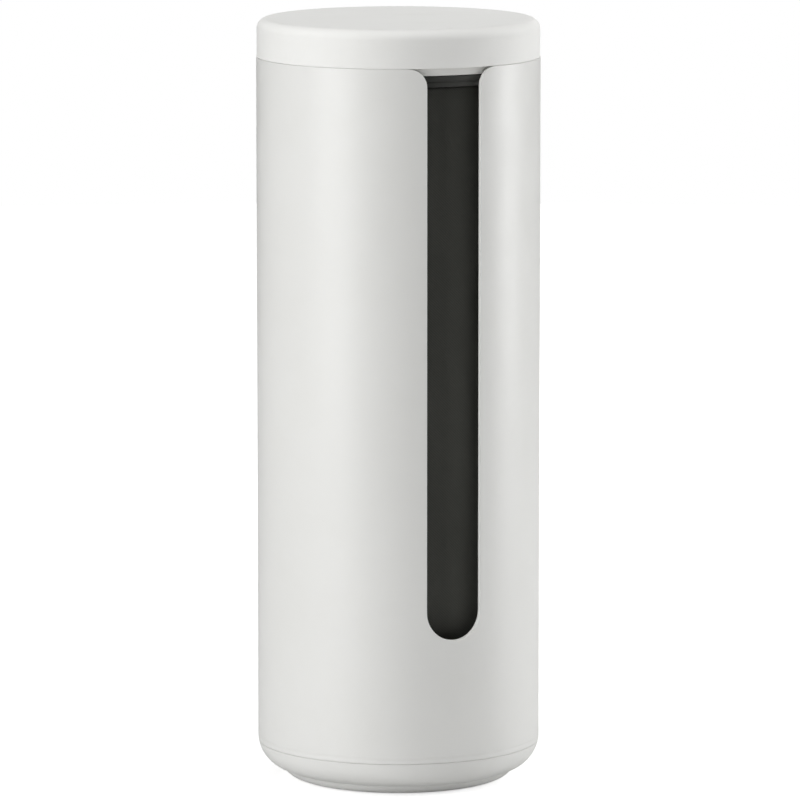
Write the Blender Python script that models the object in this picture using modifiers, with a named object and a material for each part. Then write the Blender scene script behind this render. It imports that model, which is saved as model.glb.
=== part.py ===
"""Fire blanket in a counter-top canister.

A slotted tube stands on a rounded base with a recessed foot. A plug lid closes it. Inside, on a felt
pad, stands a blanket of coated glass cloth, folded in four and rolled, with two webbing pull tabs
folded flat over its top.

Frame: metres, +Z up, origin in the middle of the underside, the slot faces -Y.
"""

import math

import bmesh
import bpy
from mathutils import Matrix

MM = 0.001
GAP = 0.3 * MM  # clearance left between pieces that touch
TURN_STEPS = 64  # facets round every turned piece

# Overall size of the canister
TUBE_R = 62.5 * MM
TOTAL_H = 338.0 * MM
WALL = 2.2 * MM
BORE_R = TUBE_R - WALL

# Lid
LID_H = 16.6 * MM
LID_R = TUBE_R - 0.2 * MM
LID_EDGE_R = 4.7 * MM
LID_TOP_WALL = 2.4 * MM
RIM_Z = TOTAL_H - LID_H  # underside of the lid's skirt
PLUG_R = BORE_R - 0.5 * MM
PLUG_WALL = 2.6 * MM
PLUG_BAND_H = 3.6 * MM  # plain band of the plug under the skirt, above the seal
PLUG_NECK_INSET = 2.6 * MM
PLUG_BOTTOM_Z = 314.0 * MM
SEAL_R = BORE_R - GAP
SEAL_LIP = 1.1 * MM  # how far the seal wraps below the plug
SEAL_LIP_INNER_R = 55.6 * MM

# Finger slot in the tube
SLOT_W = 25.0 * MM
SLOT_END_Z = 83.2 * MM  # centre of the round lower end
SLOT_END_STEPS = 14
SLOT_RIM_R = 8.0 * MM  # rounding where the slot runs out through the rim

# Base: its big outside rounding starts on the tube's own lower edge
BASE_EDGE_R = 14.7 * MM
BASE_EDGE_Z = 18.7 * MM
BASE_SEAM_Z = 16.3 * MM
BASE_EDGE_CENTRE_R = TUBE_R - BASE_EDGE_R
BASE_WALL = 2.4 * MM
BASE_SPIGOT_TOP_Z = 28.0 * MM
BASE_INNER_CORNER_R = 3.0 * MM
FLOOR_BOTTOM_Z = 6.0 * MM
FLOOR_TOP_Z = 7.6 * MM

# Foot and anti-slip pad under the base
FOOT_R = 51.5 * MM
FOOT_EDGE_R = 8.0 * MM
FOOT_EDGE_CENTRE_R = 44.5 * MM
FOOT_BOTTOM_Z = 0.3 * MM
FOOT_TOP_Z = FLOOR_BOTTOM_Z - GAP
FOOT_RIM_INNER_R = 48.8 * MM
FOOT_WEB_TOP_Z = 3.9 * MM
GRIP_PAD_R = 43.5 * MM
GRIP_PAD_T = 1.5 * MM
GRIP_PAD_CHAMFER = 0.4 * MM

# Felt pad inside, on the floor
FELT_R = 54.0 * MM
FELT_T = 1.5 * MM

# Blanket: 1.2 m x 1.8 m, folded in four across its width, then rolled. Its 1.8 m fill the spiral
# between the roll's outside and its open core, which sets how thick one folded wrap is.
CLOTH_LENGTH = 1800.0 * MM
CLOTH_WRAPS = 7
ROLL_R = 56.5 * MM
ROLL_PITCH = (2 * ROLL_R - CLOTH_LENGTH / (math.pi * CLOTH_WRAPS)) / (CLOTH_WRAPS + 1)
ROLL_CORE_R = ROLL_R - (CLOTH_WRAPS + 1) * ROLL_PITCH
ROLL_BOTTOM_Z = FLOOR_TOP_Z + FELT_T + 2 * GAP
ROLL_TOP_Z = PLUG_BOTTOM_Z - SEAL_LIP - GAP
ROLL_H = ROLL_TOP_Z - ROLL_BOTTOM_Z

# Pull tabs: doubled webbing, sewn in between the wraps and folded over the roll's top
TAB_W = 25.0 * MM
TAB_T = 2.4 * MM
TAB_LENGTH = 38.0 * MM
TAB_HINGE_X = 46.0 * MM
TAB_END_R = 6.0 * MM
TAB_SEWN_DEPTH = 40.0 * MM

COLOURS = {  # sRGB, roughness
    "shell_white": ((0.89, 0.89, 0.875), 0.42),
    "plug_white": ((0.86, 0.86, 0.845), 0.5),
    "seal_charcoal": ((0.19, 0.19, 0.18), 0.6),
    "grip_grey": ((0.30, 0.30, 0.29), 0.85),
    "felt_grey": ((0.42, 0.42, 0.41), 0.95),
    "cloth_charcoal": ((0.20, 0.20, 0.19), 0.8),
    "webbing_black": ((0.12, 0.12, 0.12), 0.85),
}


def linear(channel):
    """One sRGB channel as the linear value that Blender's colours hold."""
    if channel <= 0.04045:
        return channel / 12.92
    return ((channel + 0.055) / 1.055) ** 2.4


def make_material(name, finish):
    """A Principled material in one of the finishes above."""
    colour, roughness = COLOURS[finish]
    material = bpy.data.materials.new(name)
    material.use_nodes = True
    shader = material.node_tree.nodes["Principled BSDF"]
    shader.inputs["Base Color"].default_value = [*map(linear, colour), 1.0]
    shader.inputs["Roughness"].default_value = roughness
    shader.inputs["Metallic"].default_value = 0.0
    return material


def arc(centre, radius, start, end, steps):
    """Points (r, z) on an arc from start to end degrees, both ends included."""
    points = []
    for i in range(steps + 1):
        angle = math.radians(start + (end - start) * i / steps)
        points.append((centre[0] + radius * math.cos(angle), centre[1] + radius * math.sin(angle)))
    return points


def evaluated_mesh(obj):
    """The object's mesh with its modifiers applied."""
    depsgraph = bpy.context.evaluated_depsgraph_get()
    return bpy.data.meshes.new_from_object(obj.evaluated_get(depsgraph), depsgraph=depsgraph)


def bake(obj, finish):
    """Apply the modifiers, shade the round faces smooth and give the piece its own material."""
    obj.data = evaluated_mesh(obj)
    obj.modifiers.clear()
    obj.data.shade_smooth()
    obj.data.set_sharp_from_angle(angle=math.radians(32))
    obj.data.materials.clear()
    obj.data.materials.append(make_material(obj.name + "_finish", finish))


def place(obj, collection, parent, z=0.0):
    """Put an object in its collection, under its parent, at a height in the world."""
    collection.objects.link(obj)
    obj.parent = parent
    parent_z = parent.location.z if parent else 0.0
    obj.location.z = z - parent_z


def profile_edges(profile, ring):
    """The profile's edges, less any that lies on the axis, where it would sweep no surface."""
    pairs = [(i, i + 1) for i in range(len(profile) - 1)]
    if ring:
        pairs.append((len(profile) - 1, 0))
    return [(a, b) for a, b in pairs if profile[a][0] > 0 or profile[b][0] > 0]


def turned(name, profile, ring=True):
    """A piece turned about Z. The profile runs down the outside first; a ring's profile closes."""
    mesh = bpy.data.meshes.new(name)
    mesh.from_pydata([(r, 0.0, z) for r, z in profile], profile_edges(profile, ring), [])
    obj = bpy.data.objects.new(name, mesh)
    screw = obj.modifiers.new("turn", "SCREW")
    screw.axis = "Z"
    screw.angle = 2 * math.pi
    screw.steps = TURN_STEPS
    screw.render_steps = TURN_STEPS
    screw.use_merge_vertices = True
    screw.merge_threshold = 0.00001
    return obj


def extruded(name, outlines, depth):
    """A solid made from closed flat outlines, in local XY, that reaches depth / 2 to each side."""
    curve = bpy.data.curves.new(name, "CURVE")
    curve.dimensions = "2D"
    curve.fill_mode = "BOTH"
    curve.extrude = depth / 2
    for outline in outlines:
        spline = curve.splines.new("POLY")
        spline.points.add(len(outline) - 1)
        for point, (x, y) in zip(spline.points, outline):
            point.co = (x, y, 0.0, 1.0)
        spline.use_cyclic_u = True
    drawn = bpy.data.objects.new(name + "_outline", curve)
    bpy.context.scene.collection.objects.link(drawn)
    mesh = evaluated_mesh(drawn)
    bpy.data.objects.remove(drawn)
    shape = bmesh.new()
    shape.from_mesh(mesh)
    bmesh.ops.remove_doubles(shape, verts=shape.verts, dist=0.00001)
    shape.to_mesh(mesh)
    shape.free()
    return bpy.data.objects.new(name, mesh)


def block(name, size, centre):
    """A box of the given size around centre, in the object's own frame."""
    mesh = bpy.data.meshes.new(name)
    shape = bmesh.new()
    bmesh.ops.create_cube(shape, size=1.0, matrix=Matrix.Translation(centre) @ Matrix.Diagonal((*size, 1.0)))
    shape.to_mesh(mesh)
    shape.free()
    return bpy.data.objects.new(name, mesh)


def cut(obj, cutter, cutters):
    """Take the cutter's shape out of the object."""
    cutters.objects.link(cutter)
    cutter.hide_render = True
    cutter.display_type = "WIRE"
    boolean = obj.modifiers.new(cutter.name, "BOOLEAN")
    boolean.operation = "DIFFERENCE"
    boolean.solver = "EXACT"
    boolean.object = cutter


def carrier(name, collection, z, parent=None):
    """An empty on a moving group's axis, which carries the group's pieces."""
    empty = bpy.data.objects.new(name, None)
    empty.empty_display_size = 0.02
    place(empty, collection, parent, z)
    return empty


def slot_outline():
    """The slot seen from the front: round at the foot, straight sides, rounded out at the rim."""
    half = SLOT_W / 2
    rim = RIM_Z - GAP
    points = arc((0.0, SLOT_END_Z), half, 180, 360, SLOT_END_STEPS)
    points += arc((half + SLOT_RIM_R, rim - SLOT_RIM_R), SLOT_RIM_R, 180, 90, 5)
    points += [(half + SLOT_RIM_R, rim + SLOT_RIM_R)]
    return points + [(-x, z) for x, z in reversed(points[SLOT_END_STEPS + 1 :])]


def build_body_tube(parts, cutters):
    """The white tube, its lower edge drawn in to start the base's rounding, with the finger slot."""
    top = RIM_Z - GAP
    bottom = BASE_SEAM_Z + GAP / 2
    edge_end = -math.degrees(math.asin((BASE_EDGE_Z - bottom) / BASE_EDGE_R))
    profile = [(TUBE_R, top)]
    profile += arc((BASE_EDGE_CENTRE_R, BASE_EDGE_Z), BASE_EDGE_R, 0, edge_end, 1)
    profile += [(BORE_R, bottom), (BORE_R, top)]
    tube = turned("body_tube", profile)
    place(tube, parts, None)
    slot = extruded("slot_cutter", [slot_outline()], TUBE_R / 2)
    slot.rotation_euler.x = math.radians(90)
    slot.location.y = -TUBE_R
    cut(tube, slot, cutters)
    bpy.context.view_layer.update()
    bake(tube, "shell_white")


def build_base_cup(parts):
    """The base moulding: rounded outside, floor, and a spigot pressed up into the tube."""
    spigot_r = BORE_R - GAP
    spigot_inner_r = spigot_r - BASE_WALL
    shoulder_z = BASE_SEAM_Z - GAP / 2
    recess_r = FOOT_R + GAP
    start = -math.degrees(math.asin((BASE_EDGE_Z - shoulder_z) / BASE_EDGE_R))
    end = -math.degrees(math.acos((recess_r - BASE_EDGE_CENTRE_R) / BASE_EDGE_R))
    corner = (spigot_inner_r - BASE_INNER_CORNER_R, FLOOR_TOP_Z + BASE_INNER_CORNER_R)
    profile = [(spigot_r, BASE_SPIGOT_TOP_Z), (spigot_r, shoulder_z)]
    profile += arc((BASE_EDGE_CENTRE_R, BASE_EDGE_Z), BASE_EDGE_R, start, end, 6)
    profile += [(recess_r, FLOOR_BOTTOM_Z), (0.0, FLOOR_BOTTOM_Z)]
    floor = [(0.0, FLOOR_TOP_Z)]
    floor += arc(corner, BASE_INNER_CORNER_R, -90, 0, 3)
    floor += [(spigot_inner_r, BASE_SPIGOT_TOP_Z)]
    cup = turned("base_cup", profile + floor)
    place(cup, parts, None)
    bake(cup, "shell_white")


def build_foot_ring(parts):
    """The recessed foot: a dish with a rounded rim, open underneath for the anti-slip pad."""
    centre = (FOOT_EDGE_CENTRE_R, FOOT_BOTTOM_Z + FOOT_EDGE_R)
    start = -math.degrees(math.acos((FOOT_R - FOOT_EDGE_CENTRE_R) / FOOT_EDGE_R))
    pocket_r = GRIP_PAD_R + GAP
    pocket_z = GRIP_PAD_T + GAP
    profile = [(FOOT_R, FOOT_TOP_Z)]
    profile += arc(centre, FOOT_EDGE_R, start, -90, 5)
    profile += [(pocket_r, FOOT_BOTTOM_Z), (pocket_r, pocket_z), (0.0, pocket_z)]
    profile += [(0.0, FOOT_WEB_TOP_Z), (FOOT_RIM_INNER_R - FOOT_EDGE_R / 4, FOOT_WEB_TOP_Z)]
    profile += [(FOOT_RIM_INNER_R, FOOT_TOP_Z)]
    foot = turned("foot_ring", profile)
    place(foot, parts, None)
    bake(foot, "shell_white")


def build_disc(name, radius, thickness, chamfer, finish, parts, z):
    """A flat round pad with a broken lower edge."""
    profile = [(0.0, thickness), (radius, thickness), (radius, chamfer)]
    profile += [(radius - chamfer, 0.0), (0.0, 0.0)]
    disc = turned(name, profile, ring=False)
    place(disc, parts, None, z)
    bake(disc, finish)


def build_lid_cap(parts, lid):
    """The lid's outer cap: flat top, rounded edge and a plain skirt."""
    corner = (LID_R - LID_EDGE_R, LID_H - LID_EDGE_R)
    inner_r = LID_R - WALL
    profile = [(0.0, LID_H)]
    profile += arc(corner, LID_EDGE_R, 90, 0, 5)
    profile += [(LID_R, 0.0), (inner_r, 0.0)]
    profile += arc(corner, LID_EDGE_R - WALL, 0, 90, 3)
    profile += [(0.0, LID_H - LID_TOP_WALL)]
    cap = turned("lid_cap", profile, ring=False)
    place(cap, parts, lid, RIM_Z)
    bake(cap, "shell_white")


def build_lid_plug(parts, lid):
    """The ring inside the cap that enters the tube. Its neck carries the seal."""
    top = TOTAL_H - LID_EDGE_R - GAP
    band_bottom = RIM_Z - PLUG_BAND_H
    inner_r = PLUG_R - PLUG_WALL
    neck_r = PLUG_R - PLUG_NECK_INSET
    neck_inner_r = neck_r - PLUG_WALL
    profile = [(PLUG_R, top), (PLUG_R, band_bottom), (neck_r, band_bottom), (neck_r, PLUG_BOTTOM_Z)]
    profile += [(neck_inner_r, PLUG_BOTTOM_Z), (neck_inner_r, band_bottom), (inner_r, RIM_Z)]
    profile += [(inner_r, top)]
    plug = turned("lid_plug", [(r, z - RIM_Z) for r, z in profile])
    place(plug, parts, lid, RIM_Z)
    bake(plug, "plug_white")


def build_lid_seal(parts, lid):
    """The soft ring round the plug's neck, with a lip that wraps under the neck."""
    neck_r = PLUG_R - PLUG_NECK_INSET
    top = RIM_Z - PLUG_BAND_H - GAP
    bottom = PLUG_BOTTOM_Z - SEAL_LIP
    profile = [(SEAL_R, top), (SEAL_R, bottom), (SEAL_LIP_INNER_R, bottom)]
    profile += [(SEAL_LIP_INNER_R, PLUG_BOTTOM_Z - GAP), (neck_r + GAP, PLUG_BOTTOM_Z - GAP)]
    profile += [(neck_r + GAP, top)]
    seal = turned("lid_seal", [(r, z - bottom) for r, z in profile])
    place(seal, parts, lid, bottom)
    bake(seal, "seal_charcoal")


def spiral_outline(outer_r):
    """One turn of a spiral that starts at the back, at outer_r, and ends one wrap further in."""
    points = []
    for i in range(TURN_STEPS + 1):
        turn = i / TURN_STEPS
        radius = outer_r - ROLL_PITCH * turn
        angle = math.pi / 2 + 2 * math.pi * turn
        points.append((radius * math.cos(angle), radius * math.sin(angle)))
    return points


def build_blanket_roll(parts, cutters, blanket):
    """The rolled blanket, with the step where its last wrap ends at the back and an open core."""
    outlines = [spiral_outline(ROLL_R), spiral_outline(ROLL_CORE_R + ROLL_PITCH)]
    roll = extruded("blanket_roll", outlines, ROLL_H)
    place(roll, parts, blanket, ROLL_BOTTOM_Z + ROLL_H / 2)
    size = (TAB_T + 2 * GAP, TAB_W + 2 * GAP, 2 * (TAB_SEWN_DEPTH + GAP))
    for side in (-1, 1):
        pocket = block(f"tab_pocket_cutter_{side + 1}", size, (side * TAB_HINGE_X, 0.0, ROLL_TOP_Z))
        cut(roll, pocket, cutters)
    bpy.context.view_layer.update()
    bake(roll, "cloth_charcoal")


def build_tab(side, word, parts, blanket):
    """One pull tab: the end sewn in between the wraps, and the free end that folds up."""
    sewn_size = (TAB_T, TAB_W, TAB_SEWN_DEPTH)
    sewn = block(f"tab_anchor_{word}", sewn_size, (0.0, 0.0, -TAB_SEWN_DEPTH / 2))
    place(sewn, parts, blanket, ROLL_TOP_Z)
    sewn.location.x = side * TAB_HINGE_X
    bake(sewn, "webbing_black")

    centre = (-side * TAB_LENGTH / 2, 0.0, TAB_T / 2)
    flap = block(f"pull_tab_{word}", (TAB_LENGTH, TAB_W, TAB_T), centre)
    shape = bmesh.new()
    shape.from_mesh(flap.data)
    free_x = -side * TAB_LENGTH
    corners = [e for e in shape.edges if all(abs(v.co.x - free_x) < GAP for v in e.verts)]
    upright = [e for e in corners if abs(e.verts[0].co.z - e.verts[1].co.z) > GAP]
    bmesh.ops.bevel(shape, geom=upright, offset=TAB_END_R, segments=3, profile=0.5, affect="EDGES")
    shape.to_mesh(flap.data)
    shape.free()
    place(flap, parts, blanket, ROLL_TOP_Z + GAP)
    flap.location.x = side * TAB_HINGE_X
    bake(flap, "webbing_black")


def build():
    """Clear the scene and build every piece."""
    for obj in list(bpy.data.objects):
        bpy.data.objects.remove(obj, do_unlink=True)
    parts = bpy.data.collections.new("fire_blanket")
    cutters = bpy.data.collections.new("cutters")
    for collection in (parts, cutters):
        bpy.context.scene.collection.children.link(collection)
    blanket = carrier("blanket_carrier", parts, ROLL_BOTTOM_Z)
    lid = carrier("lid_carrier", parts, RIM_Z)

    build_body_tube(parts, cutters)
    build_base_cup(parts)
    build_foot_ring(parts)
    build_disc("anti_slip_pad", GRIP_PAD_R, GRIP_PAD_T, GRIP_PAD_CHAMFER, "grip_grey", parts, 0.0)
    felt_z = FLOOR_TOP_Z + GAP
    build_disc("floor_pad", FELT_R, FELT_T, GRIP_PAD_CHAMFER, "felt_grey", parts, felt_z)
    build_blanket_roll(parts, cutters, blanket)
    for side, word in ((-1, "left"), (1, "right")):
        build_tab(side, word, parts, blanket)
    build_lid_cap(parts, lid)
    build_lid_plug(parts, lid)
    build_lid_seal(parts, lid)


build()
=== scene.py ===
import math

import bmesh
import bpy
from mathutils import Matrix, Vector, noise


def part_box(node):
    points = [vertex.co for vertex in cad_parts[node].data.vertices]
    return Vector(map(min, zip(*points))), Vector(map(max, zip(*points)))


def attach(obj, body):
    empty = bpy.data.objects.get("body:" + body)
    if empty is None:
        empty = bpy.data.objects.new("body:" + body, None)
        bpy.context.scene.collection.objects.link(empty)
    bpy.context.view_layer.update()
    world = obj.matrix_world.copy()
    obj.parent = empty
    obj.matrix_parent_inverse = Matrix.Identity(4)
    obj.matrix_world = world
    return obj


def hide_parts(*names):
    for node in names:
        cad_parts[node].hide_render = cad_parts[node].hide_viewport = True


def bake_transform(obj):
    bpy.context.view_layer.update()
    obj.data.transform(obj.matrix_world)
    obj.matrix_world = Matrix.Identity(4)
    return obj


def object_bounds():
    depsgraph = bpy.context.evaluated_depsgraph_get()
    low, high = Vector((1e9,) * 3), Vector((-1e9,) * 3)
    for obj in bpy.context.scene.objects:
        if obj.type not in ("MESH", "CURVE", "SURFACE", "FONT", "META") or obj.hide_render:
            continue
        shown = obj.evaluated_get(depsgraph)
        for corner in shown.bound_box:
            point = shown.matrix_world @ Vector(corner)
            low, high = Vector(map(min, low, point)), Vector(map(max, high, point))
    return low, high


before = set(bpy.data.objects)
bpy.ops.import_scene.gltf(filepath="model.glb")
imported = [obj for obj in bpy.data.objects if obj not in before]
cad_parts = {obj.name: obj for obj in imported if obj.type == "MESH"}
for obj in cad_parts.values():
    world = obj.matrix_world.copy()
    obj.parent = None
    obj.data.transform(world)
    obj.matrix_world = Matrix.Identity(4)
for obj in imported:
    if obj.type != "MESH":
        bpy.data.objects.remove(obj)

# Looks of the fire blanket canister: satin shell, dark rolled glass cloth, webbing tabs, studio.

cad_low, cad_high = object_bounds()

MM = 0.001
FACETS = 256  # round a turned piece
ARC_STEP = math.radians(11)  # one facet of a rounded edge

# Places that the frame gives
tube_low, tube_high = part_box("body_tube")
cup_low, cup_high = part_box("base_cup")
foot_low, foot_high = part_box("foot_ring")
grip_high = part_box("anti_slip_pad")[1]
felt_low, felt_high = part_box("floor_pad")
cap_low, cap_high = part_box("lid_cap")
plug_low, plug_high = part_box("lid_plug")
seal_low, seal_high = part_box("lid_seal")
roll_low, roll_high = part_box("blanket_roll")
anchor_low, anchor_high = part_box("tab_anchor_right")
flap_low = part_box("pull_tab_right")[0]
TUBE_R = tube_high.x
ROLL_R = roll_high.y

# Shell details
WALL = 2.2 * MM
BORE_R = TUBE_R - WALL
EDGE = 0.3 * MM  # rounding of the shell's free edges
INNER_EDGE = 0.4 * MM
SEAM = 0.08 * MM  # the lines at the lid and the base
SEAM_EDGE = 0.15 * MM
SLOT_HALF = 12.5 * MM
SLOT_RIM_R = 8.0 * MM
SLOT_END_Z = 83.2 * MM
CREASE_DEPTH = 0.22 * MM  # fine line where the tube starts to draw in
CREASE_HALF_W = 0.38 * MM

# Base and foot
BASE_EDGE_R = 14.7 * MM
BASE_EDGE_Z = 18.7 * MM
BASE_EDGE_CENTRE_R = TUBE_R - BASE_EDGE_R
BASE_WALL = 2.4 * MM
BASE_INNER_CORNER_R = 3.0 * MM
SPIGOT_CLEARANCE = 0.2 * MM
FOOT_CLEARANCE = 0.3 * MM
FOOT_EDGE_R = 8.0 * MM
FOOT_EDGE_CENTRE_R = 44.5 * MM
FOOT_RIM_INNER_R = 48.8 * MM
FOOT_WEB_Z = 3.9 * MM
GRIP_RING_PITCH = 3.4 * MM  # rings moulded into the anti-slip disc's underside
GRIP_RING_DEPTH = 0.35 * MM
GRIP_PLAIN_R = 30.0 * MM  # no rings inside this radius

# Lid
LID_EDGE_R = 4.7 * MM
LID_TOP_WALL = 2.4 * MM
LID_RECESS_R = 20.0 * MM
LID_RECESS_DEPTH = 0.6 * MM
PLUG_BAND_H = 3.6 * MM  # plain band between the cap and the seal
PLUG_NECK_INSET = 2.6 * MM
PLUG_WALL = 2.6 * MM
SEAL_GROOVE = 0.3 * MM
SEAL_LIP_INNER_R = 55.6 * MM

# Cloth
CLOTH_LENGTH = 1.8
CLOTH_WRAPS = 7
CLOTH_ROWS = 76  # up each face of the folded cloth
CLOTH_END_R = 1.6 * MM  # rounding at the cloth's two ends
WRAP_GAP = 0.3 * MM  # between one wrap and the next
FINE_TURN = 170  # steps round the outer wrap
FINE_OVERLAP = 8  # fine steps that run on under the blanket's outer end
COARSE_TURN = 60  # steps round each wrap inside it
ROLL_PITCH = (2 * ROLL_R - CLOTH_LENGTH / (math.pi * CLOTH_WRAPS)) / (CLOTH_WRAPS + 1)
FOLD_LEAN = 3.4  # radians that the slack folds turn round the roll in a metre of height
BROAD_SWELL = 1.3 * MM  # how far the slack, its folds and its creases stand out
FOLD_SWELL = 1.2 * MM
CREASE_SWELL = 0.9 * MM
GRAIN_SWELL = 0.08 * MM
SLIM_TOP_Z = 34.0 * MM  # the roll stays slim below this, inside the base's spigot
HEM_INSETS = (7.0 * MM, 12.0 * MM)  # the two rows of stitches, from the blanket's outer end
HEM_STITCH = 5.0 * MM
HEM_THREAD_R = 0.3 * MM

# Pull tabs
STRAP_T = 1.1 * MM
STRAP_BEND_R = 1.4 * MM
STRAP_X = (anchor_low.x + anchor_high.x) / 2
STRAP_HALF_W = (anchor_high.y - anchor_low.y) / 2
ROOM_REACH = 9.0 * MM  # how far from a tab's sewn end the wraps bend round it
TAB_STITCH = 2.4 * MM
TAB_THREAD_R = 0.24 * MM


# ---------------------------------------------------------------- geometry helpers

def new_piece(name, verts, faces, material, weave=None):
    """A mesh object from points and faces, welded, smooth and facing out, with optional weave UVs."""
    mesh = bpy.data.meshes.new(name)
    mesh.from_pydata([tuple(v) for v in verts], [], faces)
    if weave:
        layer = mesh.uv_layers.new(name="weave")
        corners = [uv for face in weave for uv in face]
        for corner, uv in zip(layer.data, corners):
            corner.uv = uv
    shape = bmesh.new()
    shape.from_mesh(mesh)
    bmesh.ops.remove_doubles(shape, verts=shape.verts, dist=1e-7)
    bmesh.ops.recalc_face_normals(shape, faces=shape.faces)
    shape.to_mesh(mesh)
    shape.free()
    mesh.shade_smooth()
    mesh.materials.append(material)
    piece = bpy.data.objects.new(name, mesh)
    bpy.context.scene.collection.objects.link(piece)
    normals = piece.modifiers.new("even_normals", "WEIGHTED_NORMAL")
    normals.keep_sharp = True
    return piece


def rounded(corners, closed=False):
    """An outline's points (r, z) from its corners (r, z, rounding), each rounding as a short arc."""
    points = []
    count = len(corners)
    for i, (r, z, radius) in enumerate(corners):
        here = Vector((r, z))
        if radius == 0 or (not closed and i in (0, count - 1)):
            points.append((r, z))
            continue
        to_last = (Vector(corners[i - 1][:2]) - here).normalized()
        to_next = (Vector(corners[(i + 1) % count][:2]) - here).normalized()
        opening = to_last.angle(to_next)
        reach = radius / math.tan(opening / 2)
        centre = here + (to_last + to_next).normalized() * radius / math.sin(opening / 2)
        start = here + to_last * reach - centre
        turn = math.pi - opening
        if start.x * to_last.y - start.y * to_last.x > 0:
            turn = -turn
        steps = max(2, math.ceil(abs(turn) / ARC_STEP))
        for k in range(steps + 1):
            angle = math.atan2(start.y, start.x) + turn * k / steps
            points.append((centre.x + radius * math.cos(angle), centre.y + radius * math.sin(angle)))
    return points


def arc(centre, radius, start, end, steps):
    """Points on an arc between two angles in degrees, both ends included."""
    angles = [math.radians(start + (end - start) * k / steps) for k in range(steps + 1)]
    return [(centre[0] + radius * math.cos(a), centre[1] + radius * math.sin(a)) for a in angles]


def lathe(name, profile, material, closed=False, facets=FACETS):
    """A piece turned about Z from its profile (r, z)."""
    verts = []
    rings = []
    for r, z in profile:
        if r < 1e-7:
            rings.append([len(verts)] * facets)
            verts.append((0.0, 0.0, z))
            continue
        rings.append([len(verts) + k for k in range(facets)])
        for k in range(facets):
            angle = 2 * math.pi * k / facets
            verts.append((r * math.cos(angle), r * math.sin(angle), z))
    if closed:
        rings.append(rings[0])
    faces = []
    for upper, lower in zip(rings, rings[1:]):
        for k in range(facets):
            after = (k + 1) % facets
            face = dict.fromkeys((upper[k], lower[k], lower[after], upper[after]))
            if len(face) > 2:
                faces.append(tuple(face))
    return new_piece(name, verts, faces, material)


def capsule(verts, faces, start, end, radius, sides=6):
    """Add one stitch, a short rounded rod, to the lists of points and faces."""
    along = (end - start).normalized()
    across = along.orthogonal().normalized()
    up = along.cross(across)
    first = len(verts)
    rings = [(start, 0.45), (start + along * radius, 1.0), (end - along * radius, 1.0), (end, 0.45)]
    for centre, share in rings:
        for k in range(sides):
            angle = 2 * math.pi * k / sides
            offset = (across * math.cos(angle) + up * math.sin(angle)) * radius * share
            verts.append(centre + offset)
    for ring in range(len(rings) - 1):
        for k in range(sides):
            a = first + ring * sides + k
            b = first + ring * sides + (k + 1) % sides
            faces.append((a, b, b + sides, a + sides))
    faces.append(tuple(first + k for k in reversed(range(sides))))
    faces.append(tuple(first + 3 * sides + k for k in range(sides)))


def stitch_line(verts, faces, path, pitch, radius):
    """Add a run of stitches along a list of points."""
    for a, b in zip(path, path[1:]):
        span = b - a
        count = max(1, round(span.length / pitch))
        for k in range(count):
            start = a + span * ((k + 0.12) / count)
            end = a + span * ((k + 0.88) / count)
            capsule(verts, faces, start, end, radius)


# ---------------------------------------------------------------- material helpers

class Nodes:
    """Builds one Principled material out of procedural nodes."""

    def __init__(self, name):
        self.material = bpy.data.materials.new(name)
        self.material.use_nodes = True
        self.tree = self.material.node_tree
        self.shader = self.tree.nodes["Principled BSDF"]

    def add(self, kind, settings=None, **inputs):
        """A node with its settings; an input is a value or another node's socket."""
        node = self.tree.nodes.new("ShaderNode" + kind)
        for key, value in (settings or {}).items():
            setattr(node, key, value)
        for key, value in inputs.items():
            self.put(node.inputs[int(key[1:]) if key[1:].isdigit() else key], value)
        return node

    def put(self, socket, value):
        """Link a socket to another, or give it a value."""
        if isinstance(value, bpy.types.NodeSocket):
            self.tree.links.new(value, socket)
        else:
            socket.default_value = value

    def maths(self, operation, a, b=0.0, c=0.0):
        """One step of arithmetic."""
        return self.add("Math", {"operation": operation}, _0=a, _1=b, _2=c).outputs[0]

    def noise(self, vector, scale, detail=2.0, roughness=0.5):
        """Smooth noise from 0 to 1."""
        made = self.add("TexNoise", Vector=vector, Scale=scale, Detail=detail, Roughness=roughness)
        return made.outputs["Fac"]

    def span(self, value, low, high, to_low, to_high):
        """The value's range low..high carried to to_low..to_high, and held there."""
        made = self.add("MapRange", _0=value, _1=low, _2=high, _3=to_low, _4=to_high)
        return made.outputs[0]

    def blend(self, share, a, b):
        """Two colours mixed."""
        made = self.add("Mix", {"data_type": "RGBA"}, _0=share, _6=a, _7=b)
        return made.outputs[2]

    def place(self):
        """The point on the piece, in metres, at rest."""
        return self.add("TexCoord").outputs["Object"]

    def weave(self):
        """Metres along and across the cloth, as two numbers."""
        split = self.add("SeparateXYZ", _0=self.add("UVMap", {"uv_map": "weave"}).outputs[0])
        return split.outputs[0], split.outputs[1]

    def finish(self, colour, roughness, height, distance, strength=1.0, **extra):
        """Drive the shader: colour, roughness and a bump whose height runs over a distance."""
        bump = self.add("Bump", Strength=strength, Distance=distance, Height=height)
        self.put(self.shader.inputs["Base Color"], colour)
        self.put(self.shader.inputs["Roughness"], roughness)
        self.put(self.shader.inputs["Normal"], bump.outputs[0])
        for key, value in extra.items():
            self.put(self.shader.inputs[key.replace("_", " ")], value)
        return self.material


def linear(r, g, b):
    """An sRGB colour as the linear colour that a shader takes."""
    def channel(c):
        return c / 12.92 if c <= 0.04045 else ((c + 0.055) / 1.055) ** 2.4

    return (channel(r), channel(g), channel(b), 1.0)


# ---------------------------------------------------------------- materials

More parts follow.
